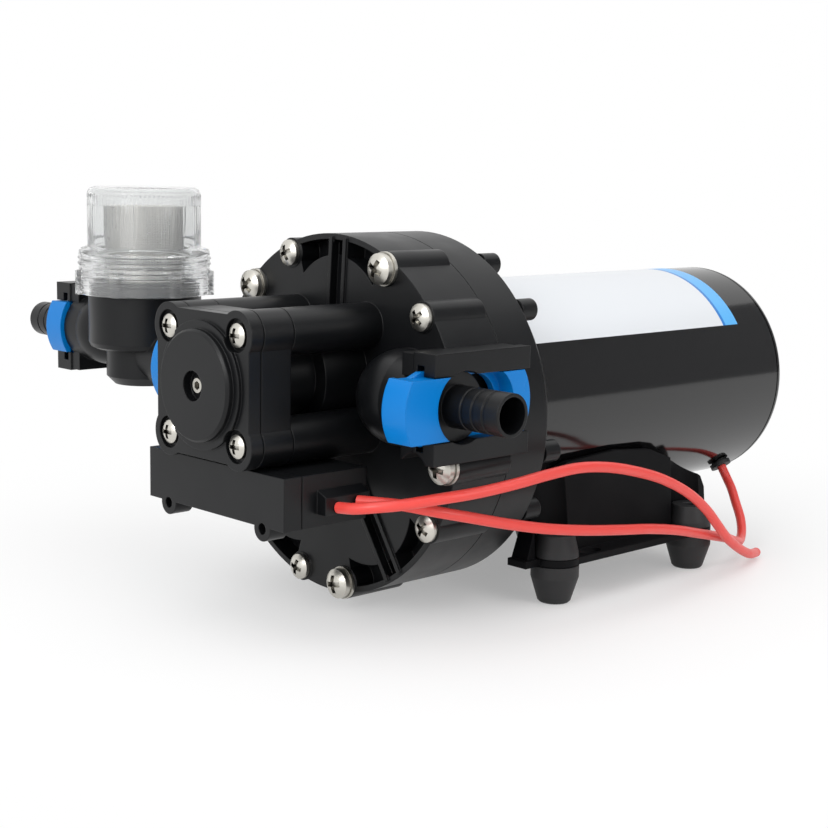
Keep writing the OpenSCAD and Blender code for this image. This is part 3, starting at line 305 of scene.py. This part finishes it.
def label_film(name):
    """White film whose rear end is printed blue in two tones."""
    material, tree, shader, place = start_material(name)
    along = add(tree, "ShaderNodeSeparateXYZ", Vector=place).outputs["X"]
    first, second = [pump_point(x, 0, 0).x for x in LABEL_BANDS_MM]
    inside = add(tree, "ShaderNodeMath", {"operation": "GREATER_THAN"}, _0=along, _1=first).outputs[0]
    outside = add(tree, "ShaderNodeMath", {"operation": "GREATER_THAN"}, _0=along, _1=second).outputs[0]
    white = add(tree, "ShaderNodeMix", {"data_type": "RGBA"}, Factor=inside,
                _6=linear("#d9dce0"), _7=linear("#2a78c4"))
    blue = add(tree, "ShaderNodeMix", {"data_type": "RGBA"}, Factor=outside,
               _6=white.outputs[2], _7=linear("#5aaeea"))
    tree.links.new(blue.outputs[2], shader.inputs["Base Color"])
    shader.inputs["Roughness"].default_value = 0.3
    ripple = add(tree, "ShaderNodeTexNoise", Vector=place, Scale=per_metre(RIPPLE_MM), Detail=1.0)
    bump = add(tree, "ShaderNodeBump", Strength=0.02, Distance=RIPPLE_HEIGHT, Height=ripple.outputs["Fac"])
    tree.links.new(bump.outputs["Normal"], shader.inputs["Normal"])
    return material


white_film = label_film("printed_film_white")
print("label:", white_film.name)

# %% [markdown]
# The strainer's bowl is clear polycarbonate, thick enough to bend what is behind it. Glass shading does
# that, because the bowl below is a wall with two sides. Its index is set lower than the plastic's own
# 1.58, so that the thick collar stays bright instead of gathering the dark head beside it. Handling
# leaves fine scratches that scatter a little light, so a small share of the surface is not clear.

# %% Clear polycarbonate
CLEAR_SHARE = 0.88
CLEAR_INDEX = 1.25
FLOW_MM = 14


def clear_plastic(name):
    """Clear moulded plastic whose polish varies a little."""
    material, tree, shader, place = start_material(name)
    shader.inputs["Base Color"].default_value = linear("#f3f4f4")
    shader.inputs["Transmission Weight"].default_value = CLEAR_SHARE
    shader.inputs["IOR"].default_value = CLEAR_INDEX
    flow = add(tree, "ShaderNodeTexNoise", Vector=place, Scale=per_metre(FLOW_MM), Detail=1.0)
    rough = add(tree, "ShaderNodeMapRange", _0=flow.outputs["Fac"], _1=NOISE_LOW, _2=NOISE_HIGH,
                _3=0.01, _4=0.05)
    tree.links.new(rough.outputs["Result"], shader.inputs["Roughness"])
    return material


clear_polycarbonate = clear_plastic("polycarbonate_clear")
print("bowl:", clear_polycarbonate.name)

# %% [markdown]
# The leads are stranded copper in soft PVC. PVC has a skin gloss and takes the lay of the strands
# inside it as a very slow waviness.

# %% PVC leads
LAY_MM = 5
LAY_HEIGHT = 0.0003
GLOW_DEPTH = (0.0012, 0.0004, 0.0003)


def pvc_lead(name, colour):
    """Soft PVC insulation with a skin gloss."""
    material, tree, shader, place = start_material(name)
    shader.inputs["Base Color"].default_value = linear(colour)
    shader.inputs["Subsurface Weight"].default_value = 0.15
    shader.inputs["Subsurface Radius"].default_value = GLOW_DEPTH
    lay = add(tree, "ShaderNodeTexNoise", Vector=place, Scale=per_metre(LAY_MM), Detail=2.0)
    rough = add(tree, "ShaderNodeMapRange", _0=lay.outputs["Fac"], _1=NOISE_LOW, _2=NOISE_HIGH,
                _3=0.32, _4=0.46)
    tree.links.new(rough.outputs["Result"], shader.inputs["Roughness"])
    bump = add(tree, "ShaderNodeBump", Strength=0.05, Distance=LAY_HEIGHT, Height=lay.outputs["Fac"])
    tree.links.new(bump.outputs["Normal"], shader.inputs["Normal"])
    return material


red_pvc = pvc_lead("pvc_red", "#e2463f")
print("leads:", red_pvc.name)

# %% [markdown]
# A lead is a length of something flexible, so it is a curve with a round section rather than a row of
# cylinders. The route's points are the same as in the solids, and a smooth curve runs through them.
# One lead goes from the switch box to the motor. The other is the supply lead, which ends bare.

# %% Routes of the leads
LEAD_D = 0.0036
MOTOR_LEAD_ROUTE = [
    (-22, -39, -20), (-19, -45, -20), (-14, -51, -20.5), (-6, -57, -22.5), (6, -61, -25.5),
    (20, -64, -29), (36, -66, -32.5), (54, -67, -35.5), (72, -67, -38), (90, -66, -40.5),
    (108, -64, -44), (122, -62, -47.5), (136, -60, -51), (149, -57, -54.5), (160, -53.5, -58),
    (168, -49.5, -59.5), (174, -46, -57.5), (178.5, -42, -53.5), (182, -37, -48.5),
    (184.5, -33, -44), (186, -29.5, -40.5), (186.4, -26.2, -36),
]
SUPPLY_LEAD_ROUTE = [
    (-30, -39, -21), (-29, -45, -20.5), (-26, -51, -19.5), (-20, -57, -18.5), (-10, -63, -17),
    (2, -67, -16), (16, -70, -14.5), (30, -71.5, -13), (44, -72, -12.5), (58, -72, -14),
    (72, -71.5, -17), (86, -71, -21), (99, -70, -26), (110, -69, -31.5), (120, -68, -38),
    (128, -67, -44.5), (136, -65.5, -50.5), (145, -63.5, -55.5), (154, -61, -59.5),
    (163, -58, -62.5), (172, -54.5, -64),
]


def smooth_route(route, steps=6):
    """Points of a smooth curve through a route."""
    p = [pump_point(*point) for point in route]
    p = [2 * p[0] - p[1]] + p + [2 * p[-1] - p[-2]]
    points = []
    for a, b, c, d in zip(p, p[1:], p[2:], p[3:]):
        for step in range(steps):
            t = step / steps
            points.append(0.5 * (2 * b + (c - a) * t + (2 * a - 5 * b + 4 * c - d) * t * t
                                 + (3 * b - a - 3 * c + d) * t ** 3))
    return points + [p[-2]]


def route_length(points):
    """Length along a row of points."""
    return sum((b - a).length for a, b in zip(points, points[1:]))


def make_lead(name, route):
    """A round lead along a route, as one open spline."""
    points = smooth_route(route)
    curve = bpy.data.curves.new(name, "CURVE")
    curve.dimensions = "3D"
    curve.bevel_depth = LEAD_D / 2
    curve.bevel_resolution = 5
    curve.use_fill_caps = True
    spline = curve.splines.new("POLY")
    spline.points.add(len(points) - 1)
    for spot, point in zip(spline.points, points):
        spot.co = (*point, 1.0)
    spline.use_smooth = True
    lead = bpy.data.objects.new(name, curve)
    bpy.context.scene.collection.objects.link(lead)
    curve.materials.append(red_pvc)
    print(name, "is", round(route_length(points) * 1000, 1), "mm long")
    return lead


# %% [markdown]
# Both leads leave the end of the switch box side by side. The supply lead ends cut square, as an
# installer would find it.

# %% Make the leads
motor_lead = make_lead("motor_lead_wire", MOTOR_LEAD_ROUTE)
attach(motor_lead, "pump")
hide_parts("motor_lead")

supply_lead = make_lead("supply_lead_wire", SUPPLY_LEAD_ROUTE)
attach(supply_lead, "pump")
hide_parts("supply_lead")

# %% [markdown]
# The remaining solids keep their shape, so they only need the finish that their slot names. A table
# from slot to finish does it for all of them in one loop. Only the base plate differs: it takes a darker,
# duller copy of the nylon, painted shade for the shadow that the motor and leads cast on it.

# %% Finish every solid
FINISHES = {
    "black_nylon": black_nylon, "white_nylon": natural_nylon, "blue_acetal": blue_acetal,
    "black_enamel": black_enamel, "label_film": white_film, "zinc_steel": zinc_steel,
    "black_rubber": black_rubber, "clear_plastic": clear_polycarbonate, "steel_mesh": mesh_sheet,
    "ferrite": laminated_iron, "copper": copper, "red_pvc": red_pvc,
}
for part in frame["record"]["subparts"]:
    mesh = nodes[part["node"]].data
    mesh.materials.clear()
    finish = FINISHES[part["material_slot"]]
    # The base plate takes the darker copy of the nylon: painted shade.
    mesh.materials.append(shaded_nylon if part["node"] == "base_plate" else finish)

# %% [markdown]
# The clear bowl is a turned shape: a wall with a rounded top, and a collar with thread lines and lugs.
# Its profile goes up the outside and down the inside. The sizes are in millimetres, with radii from the
# strainer's axis and heights from the pump's axis. A thread line has a half height at its foot and at
# the crest, and both are negative inside, where the profile runs down.

# %% Profile of the clear bowl
STRAINER_AXIS = (-2.0, 105.0)
FOOT_R, FOOT_Z = 20.6, 32.8
COLLAR_R, COLLAR_CREST_R = 24.3, 24.7
COLLAR_CHAMFER = 0.4
COLLAR_THREAD = (0.6, 0.2)
LUG_THREADS = (35.0, 36.8, 38.6, 40.4)
LUG_TOP = 42.0
UPPER_THREADS = (44.2, 46.2)
SHOULDER = [(24.3, 48.4), (24.0, 49.2), (23.3, 49.8), (22.2, 50.1), (21.3, 50.4), (21.0, 51.0)]
WALL_R = 21.0
RIB_FOOT, RIB_TOP, RIB_FADE = 66.0, 69.2, 0.6
TOP_EDGE = [(20.8, 70.7), (20.2, 71.6), (19.3, 72.2), (18.2, 72.5)]
INSIDE = [(17.4, 71.6), (18.4, 71.3), (19.2, 70.7), (19.7, 69.8), (19.7, 52.0), (19.0, 50.0)]
FLAT_SHARES = (0.75, 0.5, 0.25)
NECK_R, NECK_CREST_R = 19.0, 19.7
NECK_THREAD = (-0.7, -0.2)
NECK_THREADS = (47.0, 45.1, 43.2, 41.3, 39.4)
SEAT_Z = 37.9


def plain(points):
    """Points of the profile that belong to no zone."""
    return [(r, z, "") for r, z in points]


def thread(lines, low, high, foot, crest, zone=""):
    """Points over thread lines, each of which goes from the low radius to the high one and back."""
    rise = ((low, -foot), (high, -crest), (high, crest), (low, foot))
    return [(r, z + dz, zone) for z in lines for r, dz in rise]


def bowl_profile():
    """The bowl's outside from its foot to the top, and its inside from the top to the foot.

    Each point is a radius, a height and the zone that it belongs to.
    """
    outer = [(FOOT_R, FOOT_Z, ""), (COLLAR_R - COLLAR_CHAMFER, FOOT_Z, "lug"),
             (COLLAR_R, FOOT_Z + COLLAR_CHAMFER, "lug")]
    outer += thread(LUG_THREADS, COLLAR_R, COLLAR_CREST_R, *COLLAR_THREAD, zone="lug")
    outer += [(COLLAR_R, LUG_TOP - COLLAR_CHAMFER, "lug"), (COLLAR_R, LUG_TOP, "")]
    outer += thread(UPPER_THREADS, COLLAR_R, COLLAR_CREST_R, *COLLAR_THREAD)
    outer += plain(SHOULDER)
    outer += [(WALL_R, RIB_FOOT - RIB_FADE, ""), (WALL_R, RIB_FOOT, "rib"),
              (WALL_R, RIB_TOP, "rib"), (WALL_R, RIB_TOP + RIB_FADE, "")]
    outer += plain(TOP_EDGE)
    outer += [(TOP_EDGE[-1][0] * share, TOP_EDGE[-1][1], "") for share in FLAT_SHARES]
    inner = [(INSIDE[0][0] * share, INSIDE[0][1], "") for share in reversed(FLAT_SHARES)]
    inner += plain(INSIDE)
    inner += thread(NECK_THREADS, NECK_R, NECK_CREST_R, *NECK_THREAD)
    return outer, inner + plain([(NECK_R, SEAT_Z), (FOOT_R, SEAT_Z)])


print("profile points:", [len(side) for side in bowl_profile()])

# %% [markdown]
# Fine ribs stand under the bowl's top edge. A screw modifier could turn the profile, but it can't make
# the ribs and lugs. So the profile is turned in steps here, and its radius changes a little from step
# to step in the zones that are ribbed or have lugs, which shapes them without cutting anything.

# %% Turn the clear bowl
BOWL_STEPS = 320
LUGS = 7
LUG_FIRST = math.radians(5.4)
LUG_CENTRE, LUG_R = 23.5, 2.6
RIB_STEPS, RIB_DEPTH = 4, 0.4
FLAT_NORMAL = 0.99
SHARP_EDGE = math.radians(35)


def lug_reach(angle):
    """How far a lug on the collar stands out at an angle, in millimetres."""
    pitch = 2 * math.pi / LUGS
    off = (angle - LUG_FIRST) % pitch
    off = min(off, pitch - off)
    across = LUG_CENTRE * math.sin(off)
    return LUG_CENTRE * math.cos(off) + math.sqrt(LUG_R ** 2 - across ** 2) if across < LUG_R else 0.0


def bowl_ring(bm, radius, z, zone):
    """One ring of the bowl's corners, with the lugs or ribs of its zone."""
    ring = []
    for step in range(BOWL_STEPS):
        angle = 2 * math.pi * step / BOWL_STEPS
        r = max(radius, lug_reach(angle)) if zone == "lug" else radius
        r -= RIB_DEPTH if zone == "rib" and step % RIB_STEPS >= RIB_STEPS / 2 else 0.0
        ring.append(bm.verts.new(pump_point(STRAINER_AXIS[0] + r * math.cos(angle),
                                            STRAINER_AXIS[1] + r * math.sin(angle), z)))
    return ring


def turn_bowl():
    """The clear bowl as one closed mesh."""
    outer, inner = bowl_profile()
    bm = bmesh.new()
    rings = [bowl_ring(bm, *point) for point in outer + inner]
    last_outer, first_inner = len(outer) - 1, len(outer)
    for i in range(len(rings)):
        if i == last_outer:
            continue
        j = (i + 1) % len(rings)
        for k in range(BOWL_STEPS):
            n = (k + 1) % BOWL_STEPS
            bm.faces.new((rings[i][k], rings[i][n], rings[j][n], rings[j][k]))
    for index, z in ((last_outer, outer[-1][1]), (first_inner, inner[0][1])):
        hub = bm.verts.new(pump_point(*STRAINER_AXIS, z))
        for k in range(BOWL_STEPS):
            bm.faces.new((rings[index][k], rings[index][(k + 1) % BOWL_STEPS], hub))
    bmesh.ops.recalc_face_normals(bm, faces=bm.faces)
    mesh = bpy.data.meshes.new("clear_bowl")
    bm.to_mesh(mesh)
    bm.free()
    for face in mesh.polygons:
        face.use_smooth = abs(face.normal.z) < FLAT_NORMAL
    mesh.set_sharp_from_angle(angle=SHARP_EDGE)
    mesh.materials.append(clear_polycarbonate)
    return mesh


bowl = bpy.data.objects.new("clear_bowl", turn_bowl())
bpy.context.scene.collection.objects.link(bowl)
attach(bowl, "bowl")
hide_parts("strainer_bowl")
print("bowl faces:", len(bowl.data.polygons))

# %% [markdown]
# The screen inside the bowl is woven stainless wire, rolled into a cylinder with a closed cap. Real
# mesh of this kind has about three wires to a millimetre. That would only shimmer, so it is drawn at
# 0.6 mm, over the plain cylinder of the solid. The rule is simple, upright wires on a circle and rings
# on a line, so a node tree makes it, and its sizes are the tree's inputs. The same tree makes the
# coarser roll of wire that lies round the screen inside the collar.

# %% Weave the screen
SCREEN_INPUTS = [("Radius", 0.0148), ("Height", 0.0471), ("Wire", 0.00009), ("Uprights", 150), ("Rings", 76)]
SCREEN_Z = 18.3
ROLL_INPUTS = {"Radius": 0.0168, "Height": 0.003, "Wire": 0.0002, "Uprights": 110, "Rings": 4}
ROLL_Z = 44.2
CIRCLE_STEPS = 72
WIRE_SIDES = 4


def screen_tree(name, material):
    """A node tree that weaves a cylinder of wire standing on the floor plane."""
    tree = bpy.data.node_groups.new(name, "GeometryNodeTree")
    tree.interface.new_socket("Geometry", in_out="OUTPUT", socket_type="NodeSocketGeometry")
    for label, value in SCREEN_INPUTS:
        kind = "NodeSocketInt" if isinstance(value, int) else "NodeSocketFloat"
        tree.interface.new_socket(label, in_out="INPUT", socket_type=kind).default_value = value
    sizes = tree.nodes.new("NodeGroupInput").outputs
    top = add(tree, "ShaderNodeCombineXYZ", Z=sizes["Height"]).outputs[0]
    upright = add(tree, "GeometryNodeCurvePrimitiveLine", End=top).outputs["Curve"]
    circle = add(tree, "GeometryNodeCurvePrimitiveCircle", Resolution=CIRCLE_STEPS, Radius=sizes["Radius"])
    circle = circle.outputs["Curve"]
    feet = add(tree, "GeometryNodeCurveToPoints", Curve=circle, Count=sizes["Uprights"]).outputs["Points"]
    uprights = add(tree, "GeometryNodeInstanceOnPoints", Points=feet, Instance=upright).outputs["Instances"]
    gaps = add(tree, "ShaderNodeMath", {"operation": "SUBTRACT"}, _0=sizes["Rings"], _1=1.0).outputs[0]
    pitch = add(tree, "ShaderNodeMath", {"operation": "DIVIDE"}, _0=sizes["Height"], _1=gaps).outputs[0]
    rise = add(tree, "ShaderNodeCombineXYZ", Z=pitch).outputs[0]
    levels = add(tree, "GeometryNodeMeshLine", Count=sizes["Rings"], Offset=rise).outputs["Mesh"]
    rings = add(tree, "GeometryNodeInstanceOnPoints", Points=levels, Instance=circle).outputs["Instances"]
    both = tree.nodes.new("GeometryNodeJoinGeometry")
    for part in (uprights, rings):
        tree.links.new(part, both.inputs[0])
    lines = add(tree, "GeometryNodeRealizeInstances", Geometry=both.outputs[0]).outputs[0]
    section = add(tree, "GeometryNodeCurvePrimitiveCircle", Resolution=WIRE_SIDES, Radius=sizes["Wire"])
    wire = add(tree, "GeometryNodeCurveToMesh", Curve=lines, _1=section.outputs["Curve"]).outputs["Mesh"]
    whole = add(tree, "GeometryNodeRealizeInstances", Geometry=wire).outputs[0]
    dressed = add(tree, "GeometryNodeSetMaterial", Geometry=whole, Material=material).outputs[0]
    add(tree, "NodeGroupOutput", Geometry=dressed)
    return tree


def grow(name, tree, place, **inputs):
    """Runs a node tree with these inputs and returns its result as a plain mesh at a place."""
    holder = bpy.data.objects.new(name, bpy.data.meshes.new(name + "_seed"))
    bpy.context.scene.collection.objects.link(holder)
    modifier = holder.modifiers.new("nodes", "NODES")
    modifier.node_group = tree
    for item in tree.interface.items_tree:
        if item.in_out == "INPUT" and item.name in inputs:
            modifier[item.identifier] = inputs[item.name]
    ready = holder.evaluated_get(bpy.context.evaluated_depsgraph_get())
    mesh = bpy.data.meshes.new_from_object(ready)
    holder.modifiers.remove(modifier)
    holder.data = mesh
    mesh.transform(Matrix.Translation(place))
    return holder


weave = screen_tree("woven_screen", stainless)
screen = grow("woven_screen", weave, pump_point(*STRAINER_AXIS, SCREEN_Z))
roll = grow("screen_foot", weave, pump_point(*STRAINER_AXIS, ROLL_Z), **ROLL_INPUTS)
for piece in (screen, roll):
    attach(piece, "strainer")
print("screen faces:", len(screen.data.polygons), "roll faces:", len(roll.data.polygons))

# %% [markdown]
# The stage is a pale floor that turns to pure white away from the pump, so that it meets the white
# background without a line. Near the pump the white is only a share of it, so the shadow stays, soft
# and pale as on a lit table. The floor lies a little under the feet, so that no two faces coincide.

# %% Floor
SHADOW_LIFT = 0.32
SHADOW_NEAR, SHADOW_FAR = 0.03, 0.30
FLOOR_HALF = 3.0
FLOOR_DROP = 0.0002
SQUARE = ((-1, -1), (1, -1), (1, 1), (-1, 1))


def direct_rays(tree):
    """One for rays from the camera, through clear plastic or off a gloss, and zero for all others."""
    ray = add(tree, "ShaderNodeLightPath").outputs
    seen = add(tree, "ShaderNodeMath", {"operation": "MAXIMUM"},
               _0=ray["Is Camera Ray"], _1=ray["Is Transmission Ray"]).outputs[0]
    return add(tree, "ShaderNodeMath", {"operation": "MAXIMUM"}, _0=seen, _1=ray["Is Glossy Ray"]).outputs[0]


def pale_floor(name):
    """Pale floor that keeps shadows near the pump and is plain white further out."""
    material, tree, shader, place = start_material(name)
    shader.inputs["Base Color"].default_value = linear("#f4f4f4")
    shader.inputs["Roughness"].default_value = 0.6
    reach = add(tree, "ShaderNodeVectorMath", {"operation": "LENGTH"}, _0=place).outputs["Value"]
    far = add(tree, "ShaderNodeMapRange", {"interpolation_type": "SMOOTHSTEP"}, _0=reach,
              _1=SHADOW_NEAR, _2=SHADOW_FAR, _3=SHADOW_LIFT, _4=1.0)
    share = add(tree, "ShaderNodeMath", {"operation": "MULTIPLY"},
                _0=far.outputs["Result"], _1=direct_rays(tree))
    glow = add(tree, "ShaderNodeEmission", Color=(1.0, 1.0, 1.0, 1.0), Strength=1.0)
    mix = add(tree, "ShaderNodeMixShader", _0=share.outputs[0], _1=shader.outputs[0], _2=glow.outputs[0])
    tree.links.new(mix.outputs[0], tree.nodes["Material Output"].inputs["Surface"])
    return material


floor_mesh = bpy.data.meshes.new("floor")
floor_mesh.from_pydata([(FLOOR_HALF * a, FLOOR_HALF * b, 0) for a, b in SQUARE], [], [(0, 1, 2, 3)])
floor_mesh.materials.append(pale_floor("studio_floor"))
floor = bpy.data.objects.new("floor", floor_mesh)
floor.location.z = -FLOOR_DROP
bpy.context.scene.collection.objects.link(floor)
print("floor made")

# %% [markdown]
# The light is a plain soft studio: a white surround and a large lamp overhead. Two smaller lamps, one
# beside the camera and one on the outlet's side, put soft lines of light on the black plastic. The
# surround lights the pump at a lower level than it shows, so that pale surfaces don't burn out. Each
# lamp in the table has a place, an aim and a size in metres, and a power in watts.

# %% Light
SURROUND_LIGHT = 0.6
LAMPS = [
    ("overhead", (-0.1, -0.1, 1.2), (0, 0, 0.05), 1.3, 6.0),
    ("beside_camera", (-0.9, -0.2, 0.5), (-0.1, 0, 0.07), 0.5, 4.0),
    ("outlet_side", (0.15, -1.0, 0.45), (0.03, 0, 0.06), 0.5, 2.5),
]

world = bpy.data.worlds.new("studio")
bpy.context.scene.world = world
world.use_nodes = True
sky = world.node_tree
strength = add(sky, "ShaderNodeMapRange", _0=direct_rays(sky), _1=0.0, _2=1.0, _3=SURROUND_LIGHT, _4=1.0)
backdrop = sky.nodes["Background"]
backdrop.inputs["Color"].default_value = (1.0, 1.0, 1.0, 1.0)
sky.links.new(strength.outputs["Result"], backdrop.inputs["Strength"])


def soft_lamp(name, place, aim, size, power):
    """A square lamp that faces a point."""
    data = bpy.data.lights.new(name, "AREA")
    data.size = size
    data.energy = power
    lamp = bpy.data.objects.new(name, data)
    lamp.location = place
    lamp.rotation_euler = (Vector(aim) - Vector(place)).to_track_quat("-Z", "Y").to_euler()
    bpy.context.scene.collection.objects.link(lamp)


for lamp_sizes in LAMPS:
    soft_lamp(*lamp_sizes)
bpy.context.scene.view_settings.view_transform = "Standard"

# %% [markdown]
# Gloss black shows its roundness only where it mirrors something darker above the pale floor. So a grey
# cloth stands to the right of the camera, as in a photographer's studio. It is there for reflections
# alone: the camera, the shadows and the soft light don't see it.

# %% Grey cloth
CLOTH_PLACE = Vector((0.95, -0.95, 0.62))
CLOTH_W, CLOTH_H = 2.2, 1.2
PILE_MM = 40


def studio_cloth(name):
    """Grey cloth whose pile lies unevenly."""
    material, tree, shader, place = start_material(name)
    pile = add(tree, "ShaderNodeTexNoise", Vector=place, Scale=per_metre(PILE_MM), Detail=3.0)
    shade = add(tree, "ShaderNodeMix", {"data_type": "RGBA"}, Factor=pile.outputs["Fac"],
                _6=linear("#a0a0a2"), _7=linear("#b0b0b2"))
    tree.links.new(shade.outputs[2], shader.inputs["Base Color"])
    shader.inputs["Roughness"].default_value = 1.0
    return material


across = Vector((CLOTH_PLACE.y, -CLOTH_PLACE.x, 0)).normalized() * CLOTH_W / 2
upward = Vector((0, 0, CLOTH_H / 2))
corners = [CLOTH_PLACE + a * across + b * upward for a, b in SQUARE]
cloth_mesh = bpy.data.meshes.new("grey_cloth")
cloth_mesh.from_pydata(corners, [], [(0, 1, 2, 3)])
cloth_mesh.materials.append(studio_cloth("grey_studio_cloth"))
cloth = bpy.data.objects.new("grey_cloth", cloth_mesh)
bpy.context.scene.collection.objects.link(cloth)
cloth.visible_camera = False
cloth.visible_diffuse = False
cloth.visible_transmission = False
cloth.visible_shadow = False
print("cloth", CLOTH_W, "by", CLOTH_H, "m")
